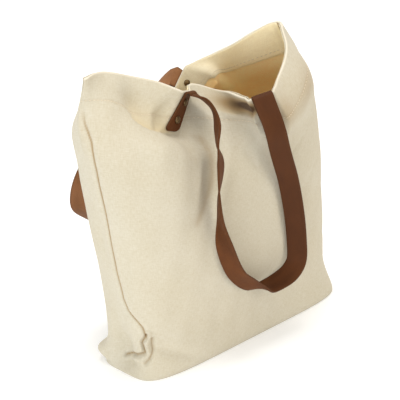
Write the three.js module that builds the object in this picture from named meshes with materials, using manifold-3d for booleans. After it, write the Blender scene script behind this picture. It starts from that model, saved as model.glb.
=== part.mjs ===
// A canvas shopper bag standing open on its flat bottom, with two leather straps riveted outside the hem.
// Millimetres. +X is the bag's right seen from the front, the front faces -Y and +Z is up.
import * as THREE from "three";
import { mergeVertices } from "three/addons/utils/BufferGeometryUtils.js";
import Module from "manifold-3d";

const wasm = await Module();
wasm.setup();

// Cloth
const FLAT_WIDTH = 415;
const GIRTH = 2 * FLAT_WIDTH;
const RIM_UP = 378;
const HEM_DEPTH = 40;
const WALL = 1.6;
const HEM_THICK = 1.4;
const GAP = 0.3;
const STRAP_SEAT = 0.4;
const COLUMN_STEP = 18;
const FOLD_START = 20;

// Straps
const STRAP_WIDTH = 25;
const STRAP_THICK = 2.4;
const TAB_TOP = 375;
const TAB_LENGTH = 48;
const TAB_END_SHARE = 0.62;
const RUN_STEP = 10;
const BEND_STEPS = 5;
const BEND_STRAIGHT_BY = 0.9;
const ACROSS = [-0.5, 0, 0.5];
const HOLD_MARGIN = 3;
const HOLD_FADE = 9;

// Rivets
const RIVET_CAP_R = 4.5;
const RIVET_CAP_H = 2.2;
const RIVET_BACK_R = 4;
const RIVET_BACK_H = 1.2;
const RIVET_SHANK_R = 1.7;
const RIVET_HOLE_R = 2.1;
const RIVET_HOLE_LENGTH = 14;
const RIVET_EDGE = 0.6;
const RIVET_CROWN = { across: 0.75, up: 0.8 };
const RIVET_SIDES = 10;
const RIVET_SEAT = 0.4;
const RIVET_UP = { upper: 365, lower: 342 };

// Filled outline by height: cloth distance up from the bottom edge, height, depth of the section front to
// back, squareness of the oval, share of the girth that lies in the outline, shift of the middle and share
// of the mouth's shape.
const LEVELS = [
  { up: 0, z: 0, depth: 112, square: 5.0, girth: 0.98, dx: 12, dy: -2, mouth: 0 },
  { up: 10, z: 7, depth: 118, square: 4.6, girth: 0.98, dx: 12, dy: -2, mouth: 0 },
  { up: 50, z: 46, depth: 112, square: 3.4, girth: 0.935, dx: 9, dy: -2, mouth: 0 },
  { up: 120, z: 116, depth: 126, square: 3.0, girth: 0.95, dx: 8, dy: -2, mouth: 0 },
  { up: 210, z: 206, depth: 138, square: 2.8, girth: 0.99, dx: 4, dy: 0, mouth: 0.05 },
  { up: 285, z: 280, depth: 132, square: 2.6, girth: 1.0, dx: 2, dy: 3, mouth: 0.25 },
];

// The mouth: distance round from the left seam, the point on the rim and the point on the hem's foot.
const MOUTH = [
  { round: 0, rim: [-148, 26, 361], foot: [-152, 30, 331] },
  { round: 14, rim: [-130, 29, 363], foot: [-139, 19, 330] },
  { round: 32, rim: [-111, 30, 360], foot: [-124, 10, 326] },
  { round: 92, rim: [-58, 9, 339], foot: [-83, -8, 305] },
  { round: 122, rim: [-33, -6, 323], foot: [-66, 0, 294] },
  { round: 150, rim: [-10, 6, 312], foot: [-45, 5, 284] },
  { round: 178, rim: [8, 22, 315], foot: [-11, -14, 279] },
  { round: 218, rim: [27, -10, 307], foot: [24, -52, 274] },
  { round: 258, rim: [26, -56, 306], foot: [29, -72, 272] },
  { round: 288, rim: [49, -70, 312], foot: [53, -86, 273] },
  { round: 326, rim: [78, -54, 318], foot: [94, -74, 284] },
  { round: 368, rim: [113, -35, 340], foot: [138, -48, 306] },
  { round: 415, rim: [141, 1, 363], foot: [163, 0, 324] },
  { round: 434, rim: [126, 10, 362], foot: [145, 14, 318] },
  { round: 482, rim: [87, 35, 341], foot: [96, 50, 303] },
  { round: 546, rim: [16, 43, 327], foot: [42, 26, 311] },
  { round: 578, rim: [-2, 46, 306], foot: [22, 32, 290] },
  { round: 630, rim: [-26, 84, 296], foot: [-12, 78, 262] },
  { round: 690, rim: [-66, 98, 296], foot: [-72, 98, 260] },
  { round: 770, rim: [-118, 66, 336], foot: [-124, 68, 302] },
  { round: 830, rim: [-148, 26, 361], foot: [-152, 30, 331] },
];

// Dents (negative) and swells of the cloth: middle, reach across and along, depth and turn in degrees.
const FOLDS = [
  { name: "hollow in the left hem", round: 80, up: 350, across: 30, along: 14, depth: -8, turn: -8 },
  { name: "swell below the left hem", round: 108, up: 302, across: 46, along: 17, depth: 11, turn: -6 },
  { name: "swell beside the strap", round: 96, up: 258, across: 36, along: 48, depth: 5, turn: -15 },
  { name: "valley behind the strap", round: 150, up: 262, across: 18, along: 62, depth: -10, turn: -23 },
  { name: "bulge of the left side", round: 808, up: 314, across: 32, along: 24, depth: 8, turn: 0 },
  { name: "ear of the left corner", round: 784, up: 16, across: 18, along: 12, depth: 12, turn: 0 },
  { name: "hollow between the strap ends", round: 224, up: 326, across: 22, along: 16, depth: -4, turn: 0 },
  { name: "tuck over the left corner", round: 2, up: 34, across: 18, along: 30, depth: -15, turn: 0 },
  { name: "tuck over the right corner", round: 413, up: 34, across: 18, along: 30, depth: -15, turn: 0 },
];

// Strap ends: distance round, radius of the bend above the end and how far it bends.
const TABS = {
  front_left: { round: 143, bend: 4, sweep: 150 },
  front_right: { round: 274, bend: 6, sweep: 150 },
  back_right: { round: 562, bend: 9, sweep: 60 },
  back_left: { round: 692, bend: 6, sweep: 150 },
};

// Free run of each strap between its bends: middle of the strap and the turn of its width about the run,
// where 0 lies square to the front.
const FRONT_RUN = [
  { at: [-8, -26, 303], turn: 45 },
  { at: [-20, -50, 284], turn: 35 },
  { at: [-31, -61, 266], turn: 43 },
  { at: [-33, -66, 246], turn: 60 },
  { at: [-46, -74, 211], turn: 41 },
  { at: [-52, -81, 185], turn: 25 },
  { at: [-49, -83, 149], turn: -18 },
  { at: [-34, -81, 112], turn: -30 },
  { at: [-14, -78, 90], turn: -40 },
  { at: [3, -77, 77], turn: -28 },
  { at: [20, -76, 71], turn: 15 },
  { at: [38, -76, 71], turn: 25 },
  { at: [59, -77, 76], turn: 35 },
  { at: [72, -77, 88], turn: 45 },
  { at: [74, -77, 113], turn: 50 },
  { at: [68, -81, 152], turn: 50 },
  { at: [56, -86, 200], turn: 50 },
  { at: [38, -93, 245], turn: 52 },
  { at: [26, -97, 280], turn: 56 },
];
const BACK_RUN = [
  { at: [-4, 75, 304], turn: -120 },
  { at: [0, 94, 284], turn: -105 },
  { at: [6, 106, 256], turn: -90 },
  { at: [8, 112, 212], turn: -90 },
  { at: [6, 112, 160], turn: -105 },
  { at: [-10, 110, 128], turn: -145 },
  { at: [-36, 106, 118], turn: -180 },
  { at: [-66, 106, 132], turn: -165 },
  { at: [-101, 101, 159], turn: -150 },
  { at: [-119, 96, 180], turn: -135 },
  { at: [-114, 95, 204], turn: -131 },
  { at: [-84, 101, 238], turn: -115 },
  { at: [-72, 109, 270], turn: -95 },
];

// Vectors
const add = (a, b, k = 1) => a.map((x, i) => x + k * b[i]);
const dot = (a, b) => a.reduce((sum, x, i) => sum + x * b[i], 0);
const size = (a) => Math.hypot(...a);
const unit = (a) => a.map((x) => x / size(a));
const cross = (a, b) => [a[1] * b[2] - a[2] * b[1], a[2] * b[0] - a[0] * b[2], a[0] * b[1] - a[1] * b[0]];
const middle = (row) => row.reduce((sum, p) => add(sum, p, 1 / row.length), [0, 0, 0]);
const radians = THREE.MathUtils.degToRad;

// Smooth curve through rows of numbers at uneven knots.
function through(knots, rows, at) {
  const last = knots.length - 1;
  let i = 0;
  while (i < last - 1 && at > knots[i + 1]) i += 1;
  const slope = (j) => {
    const a = Math.max(j - 1, 0);
    const b = Math.min(j + 1, last);
    return rows[b].map((x, c) => (x - rows[a][c]) / (knots[b] - knots[a]));
  };
  const span = knots[i + 1] - knots[i];
  const t = (at - knots[i]) / span;
  const start = slope(i);
  const end = slope(i + 1);
  return rows[i].map((x, c) => {
    const far = 3 * t ** 2 - 2 * t ** 3;
    const lean = (t ** 3 - 2 * t ** 2 + t) * start[c] + (t ** 3 - t ** 2) * end[c];
    return (1 - far) * x + far * rows[i + 1][c] + span * lean;
  });
}

// Filled outline of one level: an oval of the level's girth, stepped by distance round from the left seam.
function outline(level) {
  const steps = 720;
  const oval = (half) =>
    Array.from({ length: steps + 1 }, (_, k) => {
      const angle = Math.PI + (2 * Math.PI * k) / steps;
      const power = 2 / level.square;
      const bent = (x) => Math.sign(x) * Math.abs(x) ** power;
      return [half * bent(Math.cos(angle)), (level.depth / 2) * bent(Math.sin(angle))];
    });
  const runs = (points) => {
    const run = [0];
    for (let k = 1; k < points.length; k += 1) run.push(run[k - 1] + size(add(points[k], points[k - 1], -1)));
    return run;
  };
  let low = level.depth / 2;
  let high = GIRTH / 2;
  for (let k = 0; k < 40; k += 1) {
    const half = (low + high) / 2;
    if (runs(oval(half)).at(-1) < GIRTH * level.girth) low = half;
    else high = half;
  }
  const points = oval(low);
  const run = runs(points);
  return (round) => {
    const want = (round / GIRTH) * run.at(-1);
    let k = 0;
    while (k < steps - 1 && run[k + 1] < want) k += 1;
    const t = (want - run[k]) / (run[k + 1] - run[k]);
    return add(points[k], add(points[k + 1], points[k], -1), t);
  };
}
const OUTLINES = LEVELS.map(outline);

// Front and back of the mouth are separate curves that meet in a corner at each side seam.
const FRONT_MOUTH = MOUTH.filter((row) => row.round <= FLAT_WIDTH);
const BACK_MOUTH = MOUTH.filter((row) => row.round >= FLAT_WIDTH);
function mouthCurve(edge, round) {
  const rows = round <= FLAT_WIDTH ? FRONT_MOUTH : BACK_MOUTH;
  return through(rows.map((row) => row.round), rows.map((row) => row[edge]), round);
}

// Outside of the cloth before its folds.
const KNOTS = [...LEVELS.map((level) => level.up), RIM_UP - HEM_DEPTH, RIM_UP];
function smoothCloth(around, up) {
  const round = ((around % GIRTH) + GIRTH) % GIRTH;
  const foot = mouthCurve("foot", round);
  const sag = foot[2] / MOUTH[0].foot[2] - 1;
  const rows = LEVELS.map((level, k) => {
    const [x, y] = OUTLINES[k](round);
    const z = level.z * (1 + (sag * level.up) / (RIM_UP - HEM_DEPTH));
    return [x + level.dx + level.mouth * (foot[0] - x), y + level.dy + level.mouth * (foot[1] - y), z];
  });
  return through(KNOTS, [...rows, foot, mouthCurve("rim", round)], up);
}

function facing(surface, around, up) {
  const step = 2;
  const along = add(surface(around + step, up), surface(around - step, up), -1);
  const high = surface(around, Math.min(up + step, RIM_UP));
  const rise = add(high, surface(around, Math.max(up - step, 0)), -1);
  return unit(cross(along, rise));
}

// Outside of the cloth with its folds, which fade out towards the bottom edge.
function softCloth(around, up) {
  const flat = smoothCloth(around, up);
  const fade = THREE.MathUtils.smoothstep(up, 0, FOLD_START);
  const push = FOLDS.reduce((sum, fold) => {
    const turn = radians(fold.turn);
    const far = (((around - fold.round + FLAT_WIDTH) % GIRTH) + GIRTH) % GIRTH - FLAT_WIDTH;
    const over = up - fold.up;
    const across = (far * Math.cos(turn) + over * Math.sin(turn)) / fold.across;
    const along = (over * Math.cos(turn) - far * Math.sin(turn)) / fold.along;
    return sum + fold.depth * Math.exp(-(across ** 2) - along ** 2);
  }, 0);
  return add(flat, facing(smoothCloth, around, up), push * fade);
}

// Each stiff strap end holds the cloth behind it flat.
const mix = (a, b, share) => a.map((x, i) => x + share * (b[i] - x));
function flatPatch(tab, around, up) {
  const corner = (side, height) => softCloth(tab.round + (side * STRAP_WIDTH) / 2, height);
  const over = (around - tab.round) / STRAP_WIDTH + 0.5;
  const rise = (up - TAB_TOP + TAB_LENGTH) / TAB_LENGTH;
  const low = mix(corner(-1, TAB_TOP - TAB_LENGTH), corner(1, TAB_TOP - TAB_LENGTH), over);
  const high = mix(corner(-1, TAB_TOP), corner(1, TAB_TOP), over);
  return mix(low, high, rise);
}
function cloth(around, up) {
  const soft = softCloth(around, up);
  const reach = STRAP_WIDTH / 2 + HOLD_MARGIN + HOLD_FADE;
  const tab = Object.values(TABS).find((end) => Math.abs(around - end.round) < reach);
  if (!tab) return soft;
  const far = Math.abs(around - tab.round) - STRAP_WIDTH / 2;
  const below = TAB_TOP - TAB_LENGTH - up;
  const fade = (x) => 1 - THREE.MathUtils.smoothstep(x, HOLD_MARGIN, HOLD_MARGIN + HOLD_FADE);
  return mix(soft, flatPatch(tab, around, up), fade(far) * fade(below));
}
const clothFacing = (around, up) => facing(cloth, around, up);
const onCloth = (around, up, out) => add(cloth(around, up), clothFacing(around, up), out);

// Columns round the bag and rows up it; both fall on the edges of the strap ends.
function stepped(stops, step) {
  return stops.slice(0, -1).flatMap((from, k) => {
    const parts = Math.max(1, Math.round((stops[k + 1] - from) / step));
    return Array.from({ length: parts }, (_, j) => from + ((stops[k + 1] - from) * j) / parts);
  });
}
const tabStops = Object.values(TABS).flatMap((tab) => ACROSS.map((share) => tab.round + share * STRAP_WIDTH));
const COLUMNS = stepped([0, FLAT_WIDTH, GIRTH, ...tabStops].sort((a, b) => a - b), COLUMN_STEP);
const TAB_ROWS = [TAB_TOP - TAB_LENGTH, 332, 338, 350, 363, TAB_TOP];
const ROWS = [0, 5, 12, 24, 40, 60, 85, 115, 148, 180, 210, 237, 261, 282, 300, 315, ...TAB_ROWS, RIM_UP];

// Meshes
function meshOf(points, faces) {
  const geometry = new THREE.BufferGeometry();
  geometry.setAttribute("position", new THREE.BufferAttribute(new Float32Array(points.flat()), 3));
  geometry.setIndex(faces.flat());
  return geometry;
}

function solidOf(geometry) {
  const bare = geometry.clone();
  bare.deleteAttribute("normal");
  bare.deleteAttribute("uv");
  const merged = mergeVertices(bare, 1e-4);
  const vertProperties = merged.attributes.position.array;
  const triVerts = new Uint32Array(merged.index.array);
  return new wasm.Manifold(new wasm.Mesh({ numProp: 3, vertProperties, triVerts }));
}

function geometryOf(solid) {
  const mesh = solid.getMesh();
  const geometry = new THREE.BufferGeometry();
  geometry.setAttribute("position", new THREE.BufferAttribute(mesh.vertProperties, 3));
  geometry.setIndex(new THREE.BufferAttribute(mesh.triVerts, 1));
  return geometry;
}

// Two facing triangles for each cell between two rows of point numbers.
const cell = (a, b, c, d) => [[a, b, c], [a, c, d]];

// A closed band round the bag between two sheets of rows, outside first; capped flat for a bottom.
function bandGeometry(outside, inside, withBottom) {
  const count = COLUMNS.length;
  const tall = outside.length;
  const points = [...outside.flat(), ...inside.flat()];
  const out = (j, i) => j * count + (i % count);
  const inn = (j, i) => tall * count + out(j, i);
  const faces = [];
  for (let i = 0; i < count; i += 1) {
    for (let j = 0; j + 1 < tall; j += 1) {
      faces.push(...cell(out(j, i), out(j, i + 1), out(j + 1, i + 1), out(j + 1, i)));
      faces.push(...cell(inn(j, i), inn(j + 1, i), inn(j + 1, i + 1), inn(j, i + 1)));
    }
    faces.push(...cell(out(tall - 1, i), out(tall - 1, i + 1), inn(tall - 1, i + 1), inn(tall - 1, i)));
    if (!withBottom) faces.push(...cell(inn(0, i), inn(0, i + 1), out(0, i + 1), out(0, i)));
  }
  if (withBottom) {
    const plan = (row) => row.map((p) => new THREE.Vector2(p[0], p[1]));
    for (const [a, b, c] of THREE.ShapeUtils.triangulateShape(plan(outside[0]), [])) {
      faces.push([out(0, c), out(0, b), out(0, a)]);
    }
    for (const [a, b, c] of THREE.ShapeUtils.triangulateShape(plan(inside[0]), [])) {
      faces.push([inn(0, a), inn(0, b), inn(0, c)]);
    }
  }
  return meshOf(points, faces);
}

function bodyGeometry() {
  const outside = ROWS.map((up) => COLUMNS.map((round) => cloth(round, up)));
  const inside = ROWS.map((up) => COLUMNS.map((round) => onCloth(round, up, -WALL)));
  outside[0].forEach((p) => (p[2] = 0));
  inside[0] = outside[0].map((p, i) => {
    const out = clothFacing(COLUMNS[i], 0);
    const flat = unit([out[0], out[1], 0]);
    return add([p[0], p[1], WALL], flat, -WALL);
  });
  return bandGeometry(outside, inside, true);
}

function hemGeometry() {
  const rows = ROWS.filter((up) => up >= RIM_UP - HEM_DEPTH);
  const sheet = (depth) => rows.map((up) => COLUMNS.map((round) => onCloth(round, up, -depth)));
  return bandGeometry(sheet(WALL + GAP), sheet(WALL + GAP + HEM_THICK), false);
}

// Rows of points across a strap end that lies on the cloth, lowest first.
function tabRows(tab) {
  const lift = STRAP_SEAT + STRAP_THICK / 2;
  return TAB_ROWS.map((up, k) => {
    const share = k === 0 ? TAB_END_SHARE : 1;
    return ACROSS.map((across) => onCloth(tab.round + across * STRAP_WIDTH * share, up, lift));
  });
}

// Rows over the bend above a strap end, straightening across as it leaves the cloth.
function bendRows(tab) {
  const [below, top] = tabRows(tab).slice(-2);
  const wide = unit(add(top.at(-1), top[0], -1));
  const out = clothFacing(tab.round, TAB_TOP);
  const face = unit(add(out, wide, -dot(out, wide)));
  const rise = cross(face, wide);
  const high = dot(rise, add(middle(top), middle(below), -1)) < 0 ? rise.map((x) => -x) : rise;
  const foot = middle(top);
  return Array.from({ length: BEND_STEPS }, (_, k) => {
    const angle = radians((tab.sweep * (k + 1)) / BEND_STEPS);
    const keep = Math.max(0, 1 - angle / BEND_STRAIGHT_BY);
    const at = add(add(foot, high, tab.bend * Math.sin(angle)), face, tab.bend * (1 - Math.cos(angle)));
    return ACROSS.map((across, i) => {
      const straight = wide.map((x) => x * across * STRAP_WIDTH * (1 - keep));
      return add(add(at, straight), add(top[i], foot, -1), keep);
    });
  });
}

// Rows across a whole strap from one end to the other.
function strapRows(from, to, run) {
  const mirror = (rows) => rows.map((row) => [...row].reverse());
  const [startTab, startBend] = [tabRows(from), bendRows(from)];
  const [endTab, endBend] = [mirror(tabRows(to)), mirror(bendRows(to))];
  const points = [middle(startBend.at(-1)), ...run.map((row) => row.at), middle(endBend.at(-1))];
  const knots = [0];
  for (let k = 1; k < points.length; k += 1) {
    knots.push(knots[k - 1] + size(add(points[k], points[k - 1], -1)));
  }
  const end = knots.at(-1);
  const at = (q) => through(knots, points, q);
  const heading = (q) => unit(add(at(Math.min(q + 0.5, end)), at(Math.max(q - 0.5, 0)), -1));
  const across = (row) => unit(add(row.at(-1), row[0], -1));
  const turned = run.map((row, k) => {
    const ahead = heading(knots[k + 1]);
    const square = unit(add([0, 1, 0], ahead, -ahead[1]));
    const side = cross(ahead, square);
    const turn = radians(row.turn);
    return add(square.map((x) => x * Math.cos(turn)), side, Math.sin(turn));
  });
  const widths = [across(startBend.at(-1)), ...turned, across(endBend.at(-1))];
  const parts = Math.floor(end / RUN_STEP);
  const free = Array.from({ length: parts - 1 }, (_, k) => {
    const q = (end * (k + 1)) / parts;
    const ahead = heading(q);
    const wide = through(knots, widths, q);
    const flat = unit(add(wide, ahead, -dot(wide, ahead)));
    return ACROSS.map((share) => add(at(q), flat, share * STRAP_WIDTH));
  });
  return [...startTab, ...startBend, ...free, ...endBend.reverse(), ...endTab.reverse()];
}

function strapGeometry(rows) {
  const wide = ACROSS.length;
  const facingOf = rows.map((row, k) => {
    const before = rows[Math.max(k - 1, 0)];
    const after = rows[Math.min(k + 1, rows.length - 1)];
    return row.map((_, i) => {
      const across = add(row[Math.min(i + 1, wide - 1)], row[Math.max(i - 1, 0)], -1);
      return unit(cross(across, add(after[i], before[i], -1)));
    });
  });
  const face = (k, half) => rows[k].map((p, i) => add(p, facingOf[k][i], half));
  const loops = rows.map((_, k) => [...face(k, STRAP_THICK / 2), ...face(k, -STRAP_THICK / 2).reverse()]);
  const ring = 2 * wide;
  const at = (k, i) => k * ring + (i % ring);
  const faces = [];
  for (let k = 0; k + 1 < rows.length; k += 1) {
    for (let i = 0; i < ring; i += 1) {
      const corners = [at(k, i), at(k, i + 1), at(k + 1, i + 1), at(k + 1, i)];
      const inner = i >= wide && i < ring - 1;
      faces.push(...(inner ? cell(...corners.slice(1), corners[0]) : cell(...corners)));
    }
  }
  const last = rows.length - 1;
  for (let i = 0; i + 1 < wide; i += 1) {
    const far = ring - 1 - i;
    faces.push(...cell(at(0, far), at(0, far - 1), at(0, i + 1), at(0, i)));
    faces.push(...cell(at(last, i), at(last, i + 1), at(last, far - 1), at(last, far)));
  }
  return meshOf(loops.flat(), faces);
}

// A rivet along the local +Y, standing out from the cloth at 0: cap outside, shank through, small cap inside.
function rivetGeometry() {
  const capFoot = STRAP_SEAT + STRAP_THICK + RIVET_SEAT;
  const backFoot = -(WALL + GAP + HEM_THICK + RIVET_SEAT);
  const profile = [
    [0, backFoot - RIVET_BACK_H],
    [RIVET_BACK_R - RIVET_EDGE, backFoot - RIVET_BACK_H],
    [RIVET_BACK_R, backFoot - RIVET_EDGE],
    [RIVET_BACK_R, backFoot],
    [RIVET_SHANK_R, backFoot],
    [RIVET_SHANK_R, capFoot],
    [RIVET_CAP_R, capFoot],
    [RIVET_CAP_R, capFoot + RIVET_EDGE],
    [RIVET_CAP_R * RIVET_CROWN.across, capFoot + RIVET_CAP_H * RIVET_CROWN.up],
    [0, capFoot + RIVET_CAP_H],
  ];
  return new THREE.LatheGeometry(profile.map(([r, y]) => new THREE.Vector2(r, y)), RIVET_SIDES);
}

function stand(geometry, tab, up) {
  const out = new THREE.Vector3(...clothFacing(tab.round, up));
  const turn = new THREE.Quaternion().setFromUnitVectors(new THREE.Vector3(0, 1, 0), out);
  const at = new THREE.Vector3(...cloth(tab.round, up));
  return geometry.applyMatrix4(new THREE.Matrix4().compose(at, turn, new THREE.Vector3(1, 1, 1)));
}

const spots = Object.entries(TABS).flatMap(([name, tab]) =>
  Object.entries(RIVET_UP).map(([place, up]) => ({ name: `${name}_${place}_rivet`, tab, up })),
);
const drill = () => new THREE.CylinderGeometry(RIVET_HOLE_R, RIVET_HOLE_R, RIVET_HOLE_LENGTH, RIVET_SIDES);
const holes = spots.map(({ tab, up }) => solidOf(stand(drill(), tab, up)));
function pierced(geometry) {
  return geometryOf(holes.reduce((solid, hole) => solid.subtract(hole), solidOf(geometry)));
}

// Pieces
const canvas = new THREE.MeshStandardMaterial({ name: "canvas", color: 0xe6dcc4, roughness: 0.95 });
const leather = new THREE.MeshStandardMaterial({ name: "leather", color: 0x6b3e28, roughness: 0.6 });
const metal = { name: "brass", color: 0x8a6a3c, roughness: 0.4, metalness: 1 };
const brass = new THREE.MeshStandardMaterial(metal);
const group = new THREE.Group();
function piece(name, geometry, material) {
  const mesh = new THREE.Mesh(geometry, material);
  mesh.name = name;
  group.add(mesh);
}
piece("canvas_body", pierced(bodyGeometry()), canvas);
piece("top_hem", pierced(hemGeometry()), canvas);
const frontRows = strapRows(TABS.front_left, TABS.front_right, FRONT_RUN);
const backRows = strapRows(TABS.back_right, TABS.back_left, BACK_RUN);
piece("front_strap", pierced(strapGeometry(frontRows)), leather);
piece("back_strap", pierced(strapGeometry(backRows)), leather);
for (const { name, tab, up } of spots) piece(name, stand(rivetGeometry(), tab, up), brass);

// The origin is under the middle of the whole bag, on the floor.
const centre = new THREE.Box3().setFromObject(group).getCenter(new THREE.Vector3());
for (const mesh of group.children) mesh.geometry.translate(-centre.x, -centre.y, 0);

export default group;
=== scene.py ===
"""A canvas shopper bag with leather straps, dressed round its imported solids."""
import math

import bpy
import numpy as np
from mathutils import Matrix, Vector


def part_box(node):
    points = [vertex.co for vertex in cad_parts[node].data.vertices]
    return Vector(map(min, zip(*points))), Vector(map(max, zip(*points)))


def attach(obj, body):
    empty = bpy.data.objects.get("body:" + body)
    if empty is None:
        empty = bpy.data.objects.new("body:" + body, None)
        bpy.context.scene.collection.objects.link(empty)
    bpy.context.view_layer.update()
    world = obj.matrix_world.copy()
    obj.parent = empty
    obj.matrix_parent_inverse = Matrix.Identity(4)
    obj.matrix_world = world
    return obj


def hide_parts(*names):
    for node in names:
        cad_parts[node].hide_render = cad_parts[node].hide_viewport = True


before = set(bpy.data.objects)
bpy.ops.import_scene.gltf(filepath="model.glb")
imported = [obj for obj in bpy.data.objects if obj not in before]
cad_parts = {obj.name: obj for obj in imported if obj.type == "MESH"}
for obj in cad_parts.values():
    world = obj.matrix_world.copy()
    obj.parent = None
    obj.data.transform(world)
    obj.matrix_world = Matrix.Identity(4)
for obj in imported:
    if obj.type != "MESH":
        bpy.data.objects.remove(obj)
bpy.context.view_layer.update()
scene = bpy.context.scene
MM = 0.001

# Cloth, in millimetres
FLAT_WIDTH = 415
GIRTH = 2 * FLAT_WIDTH
RIM_UP = 378
HEM_DEPTH = 40
HEM_FOOT = RIM_UP - HEM_DEPTH
WALL = 1.6
HEM_THICK = 1.4
GAP = 0.3
STRAP_SEAT = 0.4
FOLD_START = 20
OUTLINE_POINTS = 721
HALVINGS = 40

# Grid of the cloth's mesh, in millimetres, rows or shares of the thickness
CLOTH_STEP = 3.4
FINE_STEP = 2.2
CORNER_TOP = 112
CORNER_STEP = 1.7
SEAM_REACH = 50
SEAM_MARGIN = 8
SEAM_STEP = 1.0
FACING_STEP = 2.0
INSIDE_STEP = 3
INSIDE_FINE_UP = 285
INSIDE_REACH = 6
INSIDE_CLEAR = 4
WALL_LIP = 0.45
HEM_LIP = 0.5

# Side seams: allowance inside, sunk line with a roll beside it, and where line and painted shade begin and
# end
SEAM_ALLOWANCE = 10
ALLOWANCE_FADE = 2
SEAM_LAYERS = 1.1
LAYERS_TOP = HEM_FOOT - 4
SEAM_SINK = 1.4
SEAM_SINK_REACH = 1.2
SEAM_ROLL = 0.8
SEAM_ROLL_AT = 6
SEAM_ROLL_REACH = 4
SEAM_START = (56, 62)
SEAM_SHADE = 0.57
SEAM_SHADE_REACH = 0.95
SEAM_SHADE_END = (308, 334)

# Sharp creases: the roll beside one and the reach of the shade painted along it, in widths of the crease
ROLL_AT = 2.6
ROLL_REACH = 1.3
CREASE_SHADE_REACH = 0.55

# Waver of handled cloth: waves round the bag, the rise in which one turns by a radian, and its start
WAVES = [
    dict(count=13, rise=31, start=0),
    dict(count=5, rise=23, start=0),
    dict(count=22, rise=-19, start=1.7),
]
WAVER = 0.28
WAVER_START = (4, 30)

# Light and shade painted into the cloth's colour: warm light through the cloth on the inside, the glow of the
# hem's inner face with painted fold lines, and the light that the ledges throw back
PAINTED_INSIDE_LIGHT = 0.8
# More of the painted inside light, deeper and oranger, round a spot on the back; it fades out towards the
# mouth
PAINTED_INSIDE_SPOT = dict(round=512, across=62, more=0.2, fade=(310, 350))
HEM_GLOW = 0.5
# Less of the hem's painted glow round a spot on the back
HEM_LESS_GLOW = dict(round=545, across=36, less=0.3)
# Shade of three small folds painted on the hem beside the right seam: distances from it, reach and depth
HEM_PAINTED_FOLDS = (2.5, 6.0, 10.0)
HEM_FOLD_REACH = 0.9
HEM_FOLD_SHADE = 0.7
# Painted warm light under each ledge, per millimetre that it drops in
BOUNCE = 0.1

# Straps
STRAP_WIDTH = 25
STRAP_THICK = 2.4
STRAP_EDGE = 0.8
EDGE_INSET = 0.25
EDGE_LIFT = 0.62
EDGE_MARK = 0.6
EDGE_POINTS = 3
FLESH_UPPER = 0.5
# The front strap's colour darkens from the middle of its run to its right end, over these shares of the run
DARKER_END_RUN = (0.44, 0.66)
TAB_TOP = 375
TAB_LENGTH = 48
TAB_CORNER = 7
TAB_RISES = (0, 0.35, 1, 2, 3.5, 5, TAB_CORNER)
TAB_STEP = 3.0
HOLD_MARGIN = 3
HOLD_FADE = 9
RUN_STEP = 4.0
HEADING_STEP = 0.5
BEND_STEPS = 12
BEND_SETTLE = 0.9
ACROSS = np.linspace(-0.5, 0.5, 9)

# Rivets
RIVET_CAP_RADIUS = 4.5
RIVET_CAP_HEIGHT = 2.2
RIVET_CAP_SIDE = 0.7
RIVET_CAP_TURNS = np.linspace(0, 1.45, 7)
RIVET_BACK_RADIUS = 4
RIVET_BACK_HEIGHT = 1.2
RIVET_BACK_SIDE = 0.4
RIVET_BACK_TURNS = np.linspace(1.4, 0, 5)
RIVET_SHANK_RADIUS = 1.7
RIVET_LIFT = 0.16
RIVET_SIDES = 28
RIVET_UP = (365, 342)

# Stitches: the profile is in shares of the radius and of half the length
STITCH_LENGTH = 3.1
STITCH_PITCH = 4.0
STITCH_RADIUS = 0.42
STITCH_PROFILE = [(0, -1), (0.7, -0.85), (1, -0.4), (1, 0.4), (0.7, 0.85), (0, 1)]
STITCH_SIDES = 6
STITCH_CLEAR = 2
STITCH_ROWS = (HEM_FOOT + 6,)
STITCH_SUNK = 0.1
SEWN_SINK = 0.45
SEWN_REACH = 1.6
# Shade painted along the hem's sewn line, and its reach
SEWN_SHADE = 0.1
SEWN_SHADE_REACH = 1.2

# Camera
VIEW_AZIMUTH = -41
VIEW_ELEVATION = 23
VIEW_ROLL = -4
VIEW_DISTANCE = 1815
VIEW_LENS = 135
VIEW_SENSOR = 36
VIEW_TARGET = (-11, 0, 176)
VIEW_FAR = 50

# Floor, sky and lights, in metres and watts
FLOOR_SIZE = 12.0
FLOOR_TONE = (0.96, 0.97, 0.99, 1)
FLOOR_GLOW = (0.95, 0.97, 1, 1)
FLOOR_GLOW_STRENGTH = 0.13
SKY_TONE = (1.0, 0.972, 0.91, 1)
SKY_STRENGTH = 0.8
LIGHTS = [
    dict(name="key", at=(-2.1, -0.7, 0.8), aim=(0, 0, 0.12), size=1.3, watts=3.5, colour=(0.88, 0.94, 1.0)),
    dict(name="fill", at=(0.3, -2.2, 0.9), aim=(0, 0, 0.1), size=1.6, watts=8.5, colour=(1.0, 0.89, 0.72)),
    dict(name="low", at=(-1.6, -0.5, 0.3), aim=(-0.12, 0, 0.08), size=0.8, watts=9, colour=(0.86, 0.93, 1.0)),
    dict(name="top", at=(0.1, 0.1, 2.4), aim=(0, 0, 0.2), size=1.0, watts=24, colour=(1.0, 0.98, 0.95)),
]

# Filled outline by height: cloth distance up, height, depth, squareness, share of the girth, shift and
# how far it follows the mouth.
LEVELS = [
    dict(up=0, z=0, depth=112, square=5.0, girth=0.98, dx=12, dy=-2, mouth=0),
    dict(up=10, z=7, depth=118, square=4.6, girth=0.98, dx=12, dy=-2, mouth=0),
    dict(up=50, z=46, depth=112, square=3.4, girth=0.935, dx=9, dy=-2, mouth=0),
    dict(up=120, z=116, depth=126, square=3.0, girth=0.95, dx=8, dy=-2, mouth=0),
    dict(up=210, z=206, depth=138, square=2.8, girth=0.99, dx=4, dy=0, mouth=0.05),
    dict(up=285, z=280, depth=132, square=2.6, girth=1.0, dx=2, dy=3, mouth=0.25),
]

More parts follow.
